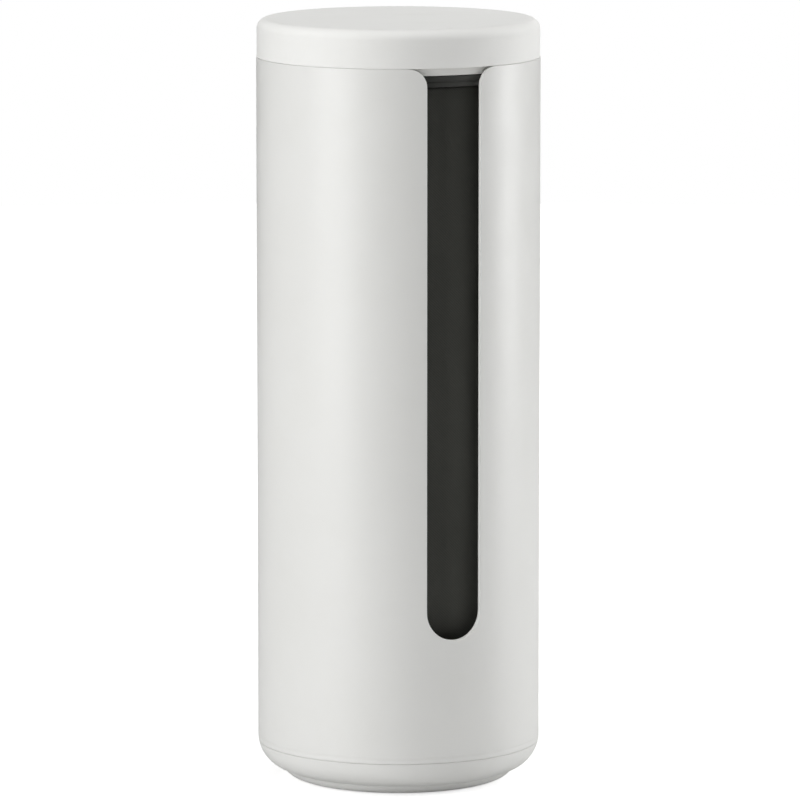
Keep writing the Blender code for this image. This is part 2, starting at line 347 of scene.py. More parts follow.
def satin_shell(name, bright, gloss_low, gloss_high):
    """Satin off-white moulding: faint orange peel, slight mottle, handling sheen, polished edges."""
    n = Nodes(name)
    place = n.place()
    mottle = n.noise(place, 14.0, 3.0)
    smudge = n.span(n.noise(place, 32.0, 4.0, 0.6), 0.52, 0.72, 0.0, 1.0)
    grain = n.noise(place, 2600.0, 2.0)
    peel = n.noise(place, 520.0, 2.0)
    worn = n.span(n.add("NewGeometry").outputs["Pointiness"], 0.52, 0.6, 0.0, 1.0)
    deep = bright - 0.022
    colour = n.blend(mottle, linear(bright, bright, bright - 0.01), linear(deep, deep, deep - 0.012))
    colour = n.blend(n.maths("MULTIPLY", smudge, 0.12), colour, linear(0.87, 0.868, 0.845))
    colour = n.blend(n.maths("MULTIPLY", worn, 0.25), colour, linear(0.95, 0.95, 0.94))
    roughness = n.span(n.noise(place, 60.0, 3.0), 0.3, 0.7, gloss_low, gloss_high)
    roughness = n.maths("SUBTRACT", roughness, n.maths("MULTIPLY", smudge, 0.03))
    roughness = n.maths("SUBTRACT", roughness, n.maths("MULTIPLY", worn, 0.06))
    height = n.maths("ADD", n.maths("MULTIPLY", grain, 0.35), peel)
    return n.finish(colour, roughness, height, 0.006 * MM, 0.5)


def moulded_plug(name):
    """The lid's plug: the shell's colour, straight from a fine spark-eroded mould."""
    n = Nodes(name)
    place = n.place()
    colour = n.blend(n.noise(place, 40.0), linear(0.90, 0.90, 0.888), linear(0.875, 0.874, 0.86))
    grain = n.noise(place, 3200.0, 3.0, 0.7)
    roughness = n.span(grain, 0.3, 0.7, 0.46, 0.6)
    return n.finish(colour, roughness, grain, 0.02 * MM, 0.4)


def silicone(name):
    """Charcoal silicone: soft sheen, and dust held in its fine skin."""
    n = Nodes(name)
    place = n.place()
    dust = n.span(n.noise(place, 420.0, 4.0, 0.7), 0.6, 0.78, 0.0, 0.35)
    colour = n.blend(dust, linear(0.18, 0.182, 0.168), linear(0.29, 0.29, 0.27))
    roughness = n.span(n.noise(place, 300.0, 3.0), 0.3, 0.7, 0.52, 0.66)
    return n.finish(colour, roughness, n.noise(place, 1900.0, 2.0), 0.03 * MM, 0.35)


def grip_rubber(name):
    """Dark grey foam rubber: matte, with a fine pebbled skin."""
    n = Nodes(name)
    place = n.place()
    cells = n.add("TexVoronoi", {"feature": "F1"}, Vector=place, Scale=900.0).outputs["Distance"]
    mottle = n.noise(place, 90.0, 3.0)
    colour = n.blend(mottle, linear(0.27, 0.27, 0.265), linear(0.33, 0.33, 0.32))
    roughness = n.span(cells, 0.0, 0.8, 0.78, 0.92)
    height = n.maths("SUBTRACT", 1.0, cells)
    return n.finish(colour, roughness, height, 0.12 * MM, 0.6)


def pressed_felt(name):
    """Grey wool felt: matted fibres and a soft nap."""
    n = Nodes(name)
    place = n.place()
    stretched = n.add("Mapping", Vector=place, Scale=(1.0, 3.2, 1.0)).outputs[0]
    fibres = n.noise(stretched, 1400.0, 5.0, 0.75)
    clumps = n.noise(place, 180.0, 4.0, 0.6)
    shade = n.maths("ADD", n.maths("MULTIPLY", fibres, 0.6), n.maths("MULTIPLY", clumps, 0.4))
    colour = n.blend(shade, linear(0.30, 0.30, 0.295), linear(0.52, 0.515, 0.50))
    roughness = n.span(fibres, 0.2, 0.8, 0.9, 1.0)
    return n.finish(colour, roughness, shade, 0.5 * MM, 0.8, Sheen_Weight=0.4)


def coated_twill(name):
    """Charcoal glass cloth: 2/2 twill under a thin silicone coat, with rubbed yarn crowns."""
    n = Nodes(name)
    along, up = n.weave()
    yarn = math.pi / (0.3 * MM)
    diagonal = n.maths("SINE", n.maths("MULTIPLY", n.maths("ADD", along, up), yarn * 0.5))
    warp = n.maths("SINE", n.maths("MULTIPLY", along, yarn))
    weft = n.maths("SINE", n.maths("MULTIPLY", up, yarn))
    crowns = n.maths("MULTIPLY", n.maths("ABSOLUTE", warp), n.maths("ABSOLUTE", weft))
    ribs = n.span(diagonal, -1.0, 1.0, 0.0, 1.0)
    height = n.maths("ADD", n.maths("MULTIPLY", crowns, 0.6), n.maths("MULTIPLY", ribs, 0.4))
    place = n.place()
    slub = n.noise(place, 700.0, 3.0, 0.6)
    cloudy = n.noise(place, 22.0, 3.0)
    tone = n.maths("ADD", n.maths("MULTIPLY", height, 0.4), n.maths("MULTIPLY", slub, 0.22))
    tone = n.maths("ADD", tone, n.maths("MULTIPLY", cloudy, 0.38))
    colour = n.blend(tone, linear(0.20, 0.203, 0.184), linear(0.315, 0.318, 0.292))
    rubbed = n.span(n.add("NewGeometry").outputs["Pointiness"], 0.51, 0.58, 0.0, 0.55)
    colour = n.blend(rubbed, colour, linear(0.36, 0.36, 0.345))
    roughness = n.span(n.maths("ADD", ribs, cloudy), 0.3, 1.6, 0.82, 0.62)
    total = n.maths("ADD", height, n.maths("MULTIPLY", slub, 0.3))
    return n.finish(colour, roughness, total, 0.07 * MM, 0.6, Sheen_Weight=0.12)


def herringbone_webbing(name):
    """Black polyester webbing: ribs along the strap, broken into small chevrons."""
    n = Nodes(name)
    along, across = n.weave()
    rib = n.maths("ABSOLUTE", n.maths("SINE", n.maths("MULTIPLY", across, math.pi / (1.55 * MM))))
    mirrored = n.maths("PINGPONG", across, 3.1 * MM)
    slant = n.maths("ADD", along, mirrored)
    chevron = n.maths("SINE", n.maths("MULTIPLY", slant, 2 * math.pi / (1.25 * MM)))
    chevron = n.span(chevron, -1.0, 1.0, 0.0, 1.0)
    height = n.maths("ADD", n.maths("MULTIPLY", rib, 0.5), n.maths("MULTIPLY", chevron, 0.5))
    fuzz = n.noise(n.place(), 1500.0, 4.0, 0.7)
    tone = n.maths("ADD", n.maths("MULTIPLY", height, 0.6), n.maths("MULTIPLY", fuzz, 0.4))
    colour = n.blend(tone, linear(0.07, 0.07, 0.072), linear(0.21, 0.21, 0.212))
    roughness = n.span(tone, 0.2, 0.9, 0.85, 0.6)
    total = n.maths("ADD", height, n.maths("MULTIPLY", fuzz, 0.25))
    return n.finish(colour, roughness, total, 0.28 * MM, 0.8, Sheen_Weight=0.25)


def sewing_thread(name, dark, pale):
    """Twisted aramid thread."""
    n = Nodes(name)
    place = n.place()
    twist = n.noise(place, 2600.0, 2.0)
    colour = n.blend(twist, dark, pale)
    roughness = n.span(twist, 0.3, 0.7, 0.55, 0.75)
    return n.finish(colour, roughness, twist, 0.1 * MM, 0.6, Sheen_Weight=0.2)


# ---------------------------------------------------------------- canister

def slot_levels(offset):
    """Heights up the tube, each with half the slot's width there, for an outline set back by offset.

    Below the slot the half width is zero. The list runs from the slot's lowest point to the rim.
    """
    half = SLOT_HALF + offset
    levels = []
    for k in range(17):
        angle = math.radians(90 * k / 16)
        levels.append((SLOT_END_Z - half * math.cos(angle), half * math.sin(angle)))
    shoulder_z = tube_high.z - SLOT_RIM_R
    steps = 36
    for k in range(1, steps):
        levels.append((SLOT_END_Z + (shoulder_z - SLOT_END_Z) * k / steps, half))
    radius = SLOT_RIM_R - offset
    for k in range(11):
        angle = math.radians(90 * k / 10)
        x = SLOT_HALF + SLOT_RIM_R - radius * math.cos(angle)
        levels.append((shoulder_z + radius * math.sin(angle), x))
    return levels


def tube_point(radius, half, share, z, side):
    """A point on the tube wall, share 0 at the slot's edge and 1 at the back."""
    edge = math.asin(min(1.0, half / radius))
    angle = edge + (math.pi - edge) * share
    return (side * radius * math.sin(angle), -radius * math.cos(angle), z)


def drawn_in(z):
    """The tube's outside radius: straight, then the start of the base's rounding, past a fine line."""
    if z >= BASE_EDGE_Z:
        return TUBE_R
    drop = BASE_EDGE_Z - z
    return BASE_EDGE_CENTRE_R + math.sqrt(BASE_EDGE_R**2 - drop**2)


def tube_rows(radius_of, offset, bottom):
    """Rows (radius, z, half slot width) from the bottom edge to the rim on one face of the wall."""
    lows = [bottom, bottom + 0.3 * MM, BASE_EDGE_Z - CREASE_HALF_W, BASE_EDGE_Z]
    lows += [BASE_EDGE_Z + CREASE_HALF_W, BASE_EDGE_Z + 1.0 * MM]
    above = slot_levels(offset)
    span = above[0][0] - lows[-1]
    lows += [lows[-1] + span * k / 8 for k in range(1, 8)]
    rows = [(radius_of(z), z, 0.0) for z in lows]
    return rows + [(radius_of(z), z, half) for z, half in above]


def build_tube(material):
    """The slotted tube: two faces of the wall joined by rounded edges at the slot, rim and foot."""
    shares = [k / 104 for k in range(105)]
    verts = []
    faces = []

    def strip(first, second):
        """Join two equally long runs of points with quads, in either order."""
        start = len(verts)
        verts.extend(first)
        verts.extend(second)
        count = len(first)
        for k in range(count - 1):
            quad = (start + k, start + k + 1, start + count + k + 1, start + count + k)
            if len({tuple(verts[q]) for q in quad}) > 2:
                faces.append(quad)

    def outer(z):
        """The outside radius, with the fine line pressed in."""
        on_line = abs(z - BASE_EDGE_Z) < 1e-9
        return drawn_in(z) - (CREASE_DEPTH if on_line else 0.0)

    bottom = tube_low.z
    outer_rows = tube_rows(outer, EDGE, bottom + EDGE)
    inner_rows = tube_rows(lambda z: BORE_R, INNER_EDGE, bottom + INNER_EDGE)
    for side in (-1, 1):
        for rows in (outer_rows, inner_rows):
            runs = [[tube_point(r, half, s, z, side) for s in shares] for r, z, half in rows]
            for lower, upper in zip(runs, runs[1:]):
                strip(lower, upper)

        # The wall's edge as (set back from the void, radius), from the outside face to the bore
        section = []
        for k in range(7):
            a = math.radians(90 * k / 6)
            section.append((EDGE * (1 - math.sin(a)), TUBE_R - EDGE * (1 - math.cos(a))))
        for k in range(6):
            a = math.radians(90 * k / 5)
            section.append((INNER_EDGE * (1 - math.cos(a)), BORE_R + INNER_EDGE * (1 - math.sin(a))))
        loops = []
        for offset, radius in section:
            levels = slot_levels(offset)
            loop = [tube_point(radius, half, 0.0, z, side) for z, half in levels]
            top_z, top_half = levels[-1]
            loop += [tube_point(radius, top_half, s, top_z, side) for s in shares[1:]]
            loops.append(loop)
        for a, b in zip(loops, loops[1:]):
            strip(a, b)

        low_r = drawn_in(bottom + EDGE)
        foot = [(low_r - EDGE * (1 - math.cos(a)), bottom + EDGE * (1 - math.sin(a)))
                for a in (math.radians(90 * k / 5) for k in range(6))]
        foot += [(BORE_R + INNER_EDGE * (1 - math.sin(a)), bottom + INNER_EDGE * (1 - math.cos(a)))
                 for a in (math.radians(90 * k / 4) for k in range(5))]
        runs = [[tube_point(r, 0.0, s, z, side) for s in shares] for r, z in foot]
        for a, b in zip(runs, runs[1:]):
            strip(a, b)
    return new_piece("tube_shell", verts, faces, material)


def build_base(material):
    """The base: its shoulder meets the tube, and a spigot runs up inside."""
    spigot_r = BORE_R - SPIGOT_CLEARANCE
    spigot_in = spigot_r - BASE_WALL
    shoulder = tube_low.z - SEAM
    recess_r = foot_high.x + FOOT_CLEARANCE
    start = -math.degrees(math.asin((BASE_EDGE_Z - shoulder + SEAM_EDGE) / BASE_EDGE_R))
    end = -math.degrees(math.acos((recess_r + SEAM_EDGE - BASE_EDGE_CENTRE_R) / BASE_EDGE_R))
    outside = arc((BASE_EDGE_CENTRE_R, BASE_EDGE_Z), BASE_EDGE_R, start, end, 24)
    lip_r = outside[0][0]
    upper = [(spigot_in, cup_high.z, 0.6 * MM), (spigot_r, cup_high.z, 0.6 * MM)]
    upper += [(spigot_r, shoulder, 0.25 * MM), (lip_r, shoulder, SEAM_EDGE)]
    floor_z = felt_low.z - 0.2 * MM
    inside = [(0.0, floor_z, 0.0), (spigot_in, floor_z, BASE_INNER_CORNER_R)]
    profile = rounded(inside + upper + [(*outside[0], 0.0)])
    profile += outside[1:]
    under = [(recess_r, outside[-1][1], 0.0), (recess_r, cup_low.z, 0.3 * MM), (0.0, cup_low.z, 0.0)]
    profile += rounded(under)
    return lathe("base_shell", profile, material)


def build_foot(material):
    """The recessed foot, a rounded dish that holds the anti-slip pad."""
    centre = (FOOT_EDGE_CENTRE_R, foot_low.z + FOOT_EDGE_R)
    start = -math.degrees(math.acos((foot_high.x - centre[0]) / FOOT_EDGE_R))
    pocket_r = grip_high.x + 0.25 * MM
    pocket_z = grip_high.z + 0.2 * MM
    rim_r = FOOT_RIM_INNER_R
    profile = rounded([(0.0, FOOT_WEB_Z, 0.0), (rim_r - 2.0 * MM, FOOT_WEB_Z, 1.0 * MM),
                       (rim_r, foot_high.z, 0.4 * MM), (foot_high.x, foot_high.z, 0.4 * MM),
                       (foot_high.x, foot_high.z - 1.0 * MM, 0.0)])
    profile += arc(centre, FOOT_EDGE_R, start, -90, 18)
    profile += rounded([(centre[0], foot_low.z, 0.0), (pocket_r, foot_low.z, 0.3 * MM),
                        (pocket_r, pocket_z, 0.3 * MM), (0.0, pocket_z, 0.0)])[1:]
    return lathe("foot_shell", profile, material)


def build_grip_pad(material):
    """The anti-slip disc, with shallow rings moulded into its underside."""
    top = grip_high.z
    radius = grip_high.x
    corners = [(0.0, top, 0.0), (radius, top, 0.3 * MM), (radius, 0.0, 0.4 * MM)]
    ring_r = radius - 3.0 * MM
    deep = GRIP_RING_DEPTH
    while ring_r > GRIP_PLAIN_R:
        corners += [(ring_r, 0.0, 0.15 * MM), (ring_r - 0.4 * MM, deep, 0.2 * MM),
                    (ring_r - 1.2 * MM, deep, 0.2 * MM), (ring_r - 1.6 * MM, 0.0, 0.15 * MM)]
        ring_r -= GRIP_RING_PITCH
    corners.append((0.0, 0.0, 0.0))
    return lathe("grip_disc", rounded(corners), material)


def build_felt_pad(material):
    """The felt disc on the canister's floor, its surface slightly uneven."""
    radius = felt_high.x
    rings = [(radius * k / 22, felt_high.z) for k in range(22)]
    rings += rounded([(radius * 0.97, felt_high.z, 0.0), (radius, felt_high.z, 0.5 * MM),
                      (radius, felt_low.z, 0.3 * MM), (0.0, felt_low.z, 0.0)])[1:]
    pad = lathe("felt_disc", rings, material, facets=160)
    for vertex in pad.data.vertices:
        if vertex.co.z > felt_low.z + 0.4 * MM:
            vertex.co.z -= 0.15 * MM * (0.5 + 0.5 * noise.noise(vertex.co * 300.0))
    return pad


# ---------------------------------------------------------------- lid

def build_lid_cap(material):
    """The cap: flat top, rounded edge and plain skirt, with a shallow recess inside."""
    radius = cap_high.x
    low = tube_high.z + SEAM
    inner_r = radius - WALL
    top = cap_high.z
    under = top - LID_TOP_WALL
    recess = under + LID_RECESS_DEPTH
    flat = [(radius * k / 10, top) for k in range(9)]
    outside = rounded([(radius * 0.85, top, 0.0), (radius, top, LID_EDGE_R), (radius, low, SEAM_EDGE),
                       (inner_r, low, INNER_EDGE), (inner_r, under, 2.4 * MM),
                       (LID_RECESS_R, under, 0.5 * MM), (LID_RECESS_R - 0.8 * MM, recess, 0.4 * MM),
                       (0.0, recess, 0.0)])
    return lathe("cap_shell", flat + outside, material)


def build_plug(material):
    """The plug inside the cap: the plain band that shows above the seal, and the neck."""
    band_low = cap_low.z - PLUG_BAND_H
    outer_r = plug_high.x
    inner_r = outer_r - PLUG_WALL
    neck_r = outer_r - PLUG_NECK_INSET
    neck_in = neck_r - PLUG_WALL
    profile = rounded([
        (outer_r, plug_high.z, 0.4 * MM), (outer_r, band_low, 0.3 * MM),
        (neck_r, band_low, 0.2 * MM), (neck_r, plug_low.z, 0.3 * MM),
        (neck_in, plug_low.z, 0.3 * MM), (neck_in, band_low, 0.6 * MM),
        (inner_r, cap_low.z, 0.6 * MM), (inner_r, plug_high.z, 0.4 * MM)], closed=True)
    return lathe("plug_ring", profile, material, closed=True)


def build_seal(material):
    """The seal: two soft ribs that press on the bore, and a lip under the plug's neck."""
    neck_r = plug_high.x - PLUG_NECK_INSET
    top = seal_high.z + 0.2 * MM
    low = seal_low.z
    reach = seal_high.x + 0.1 * MM
    groove_r = reach - SEAL_GROOVE
    lip_in = SEAL_LIP_INNER_R
    lip_top = plug_low.z - 0.15 * MM
    inner_r = neck_r + 0.1 * MM
    mid = (top + low) / 2
    profile = rounded([
        (reach, top, 0.35 * MM), (reach, mid + 0.5 * MM, 0.15 * MM),
        (groove_r, mid + 0.3 * MM, 0.1 * MM), (groove_r, mid - 0.3 * MM, 0.1 * MM),
        (reach, mid - 0.5 * MM, 0.15 * MM), (reach, low, 0.45 * MM),
        (lip_in, low, 0.35 * MM), (lip_in, lip_top, 0.2 * MM),
        (inner_r, lip_top, 0.1 * MM), (inner_r, top, 0.2 * MM)], closed=True)
    return lathe("seal_ring", profile, material, closed=True)


# ---------------------------------------------------------------- blanket

def make_room(point):
    """Move a point of the roll away from a tab's sewn end, so that the wraps close round it."""
    x, y, z = point
    side_fade = 6 * MM  # beside the sewn end
    low_fade = 12 * MM  # below it
    if math.hypot(x, y) < 1e-6 or z < anchor_low.z - low_fade:
        return point
    beside = max(0.0, abs(y) - STRAP_HALF_W) / side_fade
    below = max(0.0, anchor_low.z - z) / low_fade
    share = max(0.0, 1 - math.hypot(beside, below))
    share = share * share * (3 - 2 * share)
    offset = abs(x) - STRAP_X
    if share == 0.0 or abs(offset) > ROOM_REACH:
        return point
    gap = STRAP_T * 1.15
    eased = gap + abs(offset) * (1 - gap / ROOM_REACH)
    moved = STRAP_X + math.copysign(eased, offset)
    target = math.copysign(abs(x) + (moved - abs(x)) * share, x)
    return (target, y, z)


def smooth_noise(around, density, z, height_density, shift=(0.0, 0.0)):
    """Noise on the roll's surface, with its own density round the roll and up it."""
    return noise.noise(around * density + Vector((*shift, z * height_density)))


def softness(out, z):
    """How far the cloth swells along a level direction at a height: leaning slack folds and creases.

    It is calmer behind the slot, and the roll stays slim where the base's spigot is a close fit. Every
    wrap moves by the same amount, so that the wraps stay side by side.
    """
    lean = FOLD_LEAN * z
    around = Vector((out.x * math.cos(lean) - out.y * math.sin(lean),
                     out.x * math.sin(lean) + out.y * math.cos(lean), 0.0)) * ROLL_R
    broad = smooth_noise(around, 26.0, z, 9.0)
    fold = 1.0 - abs(smooth_noise(around, 38.0, z, 13.0, (7.0, 0.0))) * 2.4
    crease = max(0.0, 1.0 - abs(smooth_noise(around, 60.0, z, 34.0, (0.0, 9.0))) * 3.2) ** 2
    fine = smooth_noise(around, 150.0, z, 120.0)
    free = min(1.0, max(0.0, (z - SLIM_TOP_Z) / (30 * MM)))
    top = min(1.0, max(0.0, (roll_high.z - z) / (25 * MM)))
    calm = 1.0 - 0.8 * max(0.0, -out.y) ** 7
    slack = broad * BROAD_SWELL + (fold - 0.45) * FOLD_SWELL + crease * CREASE_SWELL
    return fine * GRAIN_SWELL + slack * free * (0.35 + 0.65 * top) * calm


def wrap_centre(turn):
    """The middle of the folded cloth after so many turns inward: radius and angle."""
    return ROLL_R - ROLL_PITCH * (turn + 0.5), math.pi / 2 + 2 * math.pi * turn


def cloth_section(height, thick):
    """The folded cloth's outline: (across, up, metres round it), sides flat, top and foot rounded."""
    bulge = thick * 0.4
    flat = height - 2 * bulge
    rise = [bulge + flat * k / CLOTH_ROWS for k in range(CLOTH_ROWS + 1)]
    bend = [math.pi * k / 9 for k in range(1, 9)]
    points = [(thick / 2, up) for up in rise]
    points += [(thick / 2 * math.cos(a), height - bulge + bulge * math.sin(a)) for a in bend]
    points += [(-thick / 2, up) for up in reversed(rise)]
    points += [(-thick / 2 * math.cos(a), bulge - bulge * math.sin(a)) for a in bend]
    walked = [0.0]
    for a, b in zip(points, points[1:]):
        walked.append(walked[-1] + math.dist(a, b))
    return [(*point, length) for point, length in zip(points, walked)]


def roll_stations():
    """Turns inward along the folded cloth, each with how full the cloth is there: thin at its ends."""
    stations = []
    for end, sign in ((0.0, 1), (CLOTH_WRAPS, -1)):
        radius = wrap_centre(end)[0]
        step = CLOTH_END_R / (2 * math.pi * radius)
        for k in range(1, 6):
            angle = math.radians(15 * k)
            stations.append((end + sign * step * (1 - math.cos(angle)), math.sin(angle)))
    stations += [(k / FINE_TURN, 1.0) for k in range(1, FINE_TURN + FINE_OVERLAP)]
    hidden = CLOTH_WRAPS - 1 - FINE_OVERLAP / FINE_TURN
    steps = COARSE_TURN * (CLOTH_WRAPS - 1)
    stations += [(CLOTH_WRAPS - hidden * k / steps, 1.0) for k in range(1, steps + 1)]
    return sorted(stations)


def build_roll(material):
    """The folded cloth rolled up, seven wraps with a rounded fold along the top of each."""
    height = roll_high.z - roll_low.z
    section = cloth_section(height, ROLL_PITCH - WRAP_GAP)
    stations = roll_stations()
    verts = []
    lengths = []
    walked = 0.0
    last = None
    for turn, fullness in stations:
        radius, angle = wrap_centre(turn)
        if last is not None:
            walked += 2 * math.pi * radius * (turn - last)
        last = turn
        lengths.append(walked)
        out = Vector((math.cos(angle), math.sin(angle), 0.0))
        sway = noise.noise(Vector((out.x * 2.2, out.y * 2.2, turn * 0.7)))
        droop = MM * (0.55 + 0.5 * noise.noise(Vector((out.x * 5.0, out.y * 5.0, turn * 1.7))))
        droop *= min(1.0, 0.12 + 0.88 * max(0.0, turn - 0.6))
        for across, up, _ in section:
            lift = up / height
            place = out * (radius + across * fullness) + Vector((0.0, 0.0, roll_low.z + up))
            swell = softness(out, place.z) + sway * 0.25 * MM * lift**3
            place.z -= droop * lift**6
            place += out * swell
            verts.append(make_room(place))
    count = len(section)
    faces = []
    weave = []
    total = section[-1][2]
    for s in range(len(stations) - 1):
        for k in range(count):
            after = (k + 1) % count
            a = s * count
            b = a + count
            faces.append((a + k, a + after, b + after, b + k))
            v0 = section[k][2]
            v1 = section[after][2] if after else total
            u0 = lengths[s]
            u1 = lengths[s + 1]
            weave.append(((u0, v0), (u0, v1), (u1, v1), (u1, v0)))
    for s, order in ((0, reversed), (len(stations) - 1, list)):
        faces.append(tuple(order([s * count + k for k in range(count)])))
        corners = [(lengths[s], v) for _, _, v in section]
        weave.append(tuple(order(corners)))
    return new_piece("rolled_cloth", verts, faces, material, weave)


def build_hem_stitches(material):
    """Two rows of stitches down the blanket's outer end, at the back of the roll."""
    verts = []
    faces = []
    low = roll_low.z + 4 * MM
    high = roll_high.z - 4 * MM
    for inset in HEM_INSETS:
        turn = inset / (2 * math.pi * ROLL_R)
        radius, angle = wrap_centre(turn)
        surface = radius + (ROLL_PITCH - WRAP_GAP) / 2
        out = Vector((math.cos(angle), math.sin(angle), 0.0))
        path = []
        for k in range(61):
            z = low + (high - low) * k / 60
            path.append(out * (surface + softness(out, z) + 0.05 * MM) + Vector((0.0, 0.0, z)))
        stitch_line(verts, faces, path, HEM_STITCH, HEM_THREAD_R)
    return new_piece("hem_stitches", verts, faces, material)


def strap_path(side):
    """The doubled strap's middle line in X and Z: up out of the roll, out to its loop, and back."""
    half = STRAP_T / 2
    ply_gap = 0.1 * MM
    bend = STRAP_BEND_R
    inner_x = STRAP_X - half - ply_gap / 2
    outer_x = STRAP_X + half + ply_gap / 2
    low_z = flap_low.z + half + ply_gap
    high_z = low_z + STRAP_T + ply_gap
    tip = flap_low.x + half + 0.6 * MM
    path = [(inner_x, anchor_low.z + (low_z - bend - anchor_low.z) * k / 16) for k in range(17)]
    path += arc((inner_x - bend, low_z - bend), bend, 0, 90, 7)[1:]
    start_x = inner_x - bend
    path += [(start_x + (tip - start_x) * k / 18, low_z) for k in range(1, 19)]
    loop_r = (high_z - low_z) / 2
    path += arc((tip, low_z + loop_r), loop_r, -90, -270, 8)[1:]
    outer_bend = bend + STRAP_T + ply_gap
    end_x = outer_x - outer_bend
    path += [(tip + (end_x - tip) * k / 18, high_z) for k in range(1, 19)]
    path += arc((end_x, high_z - outer_bend), outer_bend, 90, 0, 8)[1:]
    top = high_z - outer_bend
    path += [(outer_x, top + (anchor_low.z - top) * k / 16) for k in range(1, 17)]
    return [Vector((side * x, 0.0, z)) for x, z in path]


def build_strap(side, word, material):
    """One pull tab: webbing doubled over into a finger loop, its ends sewn in between the wraps."""
    path = strap_path(side)
    corner = 0.4 * MM
    half_w = STRAP_HALF_W
    half_t = STRAP_T / 2
    rim = rounded([(half_w, half_t, corner), (half_w, -half_t, corner), (-half_w, -half_t, corner),
                   (-half_w, half_t, corner)], closed=True)
    outline = []
    for a, b in zip(rim, rim[1:] + rim[:1]):
        pieces = max(1, round(math.dist(a, b) / (1.6 * MM)))
        outline += [(a[0] + (b[0] - a[0]) * k / pieces, a[1] + (b[1] - a[1]) * k / pieces)
                    for k in range(pieces)]
    verts = []
    walked = [0.0]
    for a, b in zip(path, path[1:]):
        walked.append(walked[-1] + (b - a).length)
    for i, point in enumerate(path):
        along = (path[min(i + 1, len(path) - 1)] - path[max(i - 1, 0)]).normalized()
        out = Vector((-along.z, 0.0, along.x))
        for wide, thick in outline:
            ripple = 0.05 * MM * noise.noise(Vector((wide * 160.0, walked[i] * 160.0, side * 3.0)))
            verts.append(point + Vector((0.0, wide, 0.0)) + out * (thick + ripple))
    count = len(outline)
    faces = []
    weave = []
    for i in range(len(path) - 1):
        for k in range(count):
            after = (k + 1) % count
            a = i * count
            b = a + count
            faces.append((a + k, a + after, b + after, b + k))
            v0 = outline[k][0]
            v1 = outline[after][0]
            u0 = walked[i]
            u1 = walked[i + 1]
            weave.append(((u0, v0), (u0, v1), (u1, v1), (u1, v0)))
    for i, order in ((0, reversed), (len(path) - 1, list)):
        faces.append(tuple(order([i * count + k for k in range(count)])))
        weave.append(tuple(order([(walked[i], v) for v, _ in outline])))
    return new_piece(f"webbing_{word}", verts, faces, material, weave)


def build_tab_stitches(side, word, material):
    """The box and cross sewn through both layers of a tab, near the roll."""
    verts = []
    faces = []
    near = STRAP_X - 6.5 * MM
    far = STRAP_X - 20.0 * MM
    wide = STRAP_HALF_W - 3.0 * MM
    over = flap_low.z + 2 * STRAP_T + 0.26 * MM
    under = flap_low.z + 0.04 * MM
    for z in (over, under):
        corners = ((near, -wide), (near, wide), (far, wide), (far, -wide))
        box = [Vector((side * x, y, z)) for x, y in corners]
        for path in (box + box[:1], [box[0], box[2]], [box[1], box[3]]):
            stitch_line(verts, faces, path, TAB_STITCH, TAB_THREAD_R)
    return new_piece(f"tab_stitches_{word}", verts, faces, material)


# ---------------------------------------------------------------- put the object together

def stand_in(piece, body, slot, *nodes):
    """Carry a piece on its body in place of its CAD nodes; the slot argument is not used."""
    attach(piece, body)
    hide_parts(*nodes)


def build_object():
    """Every visible piece; all but the two webbing straps go on their bodies."""
    shell = satin_shell("satin_shell", 0.918, 0.37, 0.43)
    # The lid is a lighter, rougher copy of the tube's satin moulding. Its extra lightness is painted
    # light that stands in for the brighter light on the lid.
    lid_shell_painted_lighter = satin_shell("satin_lid_painted_lighter", 0.952, 0.60, 0.66)
    stand_in(build_tube(shell), "canister", "shell", "body_tube")
    stand_in(build_base(shell), "canister", "shell", "base_cup")
    stand_in(build_foot(shell), "canister", "shell", "foot_ring")
    stand_in(build_grip_pad(grip_rubber("grip_rubber")), "canister", "grip_pad", "anti_slip_pad")
    stand_in(build_felt_pad(pressed_felt("pressed_felt")), "canister", "felt", "floor_pad")
    stand_in(build_lid_cap(lid_shell_painted_lighter), "lid", "shell", "lid_cap")
    stand_in(build_plug(moulded_plug("moulded_plug")), "lid", "plug", "lid_plug")
    stand_in(build_seal(silicone("silicone")), "lid", "seal", "lid_seal")
    stand_in(build_roll(coated_twill("coated_twill")), "blanket", "cloth", "blanket_roll")
    cloth_thread = sewing_thread("cloth_thread", linear(0.24, 0.24, 0.235), linear(0.38, 0.38, 0.37))
    stitches = build_hem_stitches(cloth_thread)
    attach(stitches, "blanket")
    webbing = herringbone_webbing("herringbone_webbing")
    tab_thread = sewing_thread("tab_thread", linear(0.62, 0.60, 0.55), linear(0.80, 0.78, 0.73))
    for side, word in ((-1, "left"), (1, "right")):
        strap = build_strap(side, word, webbing)
        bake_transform(strap)
        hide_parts(f"tab_anchor_{word}", f"pull_tab_{word}")
        sewn = build_tab_stitches(side, word, tab_thread)
        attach(sewn, f"tab_{word}")


# ---------------------------------------------------------------- studio

CAMERA_AZIMUTH = math.radians(-23.1)  # the camera stands to the left of the slot
CAMERA_DISTANCE = 2.957
CAMERA_HEIGHT = 0.600
CAMERA_LENS = 303.8
AIM_SIDE = 0.7 * MM  # the camera looks just right of the canister's axis
AIM_DROP = 0.7 * MM  # and just under its middle
WORLD_FILL = 0.01  # light from every side
WHITE = (1.0, 1.0, 1.0, 1.0)
FLOOR_R = 2.2
FLOOR_DROP = 0.05 * MM
FLOOR_LIFT = 0.66  # keeps the floor near white around the soft shadow
FLOOR_TONES = ((0.76, 0.76, 0.76, 1.0), (0.78, 0.78, 0.78, 1.0))
SOFTBOXES = (  # name, azimuth from the camera's side, elevation, distance, width, height, power
    ("key_left", -50.0, 10.0, 1.5, 0.85, 1.0, 15.9),
    ("key_right", 97.0, 10.0, 1.5, 0.5, 1.0, 15.8),
    ("front_high", -5.0, 50.0, 1.5, 1.0, 0.8, 1.3),
    ("overhead", 0.0, 87.0, 1.9, 1.0, 0.8, 18.5),
    ("rear", 180.0, 16.0, 1.5, 0.8, 0.6, 2.8),
)


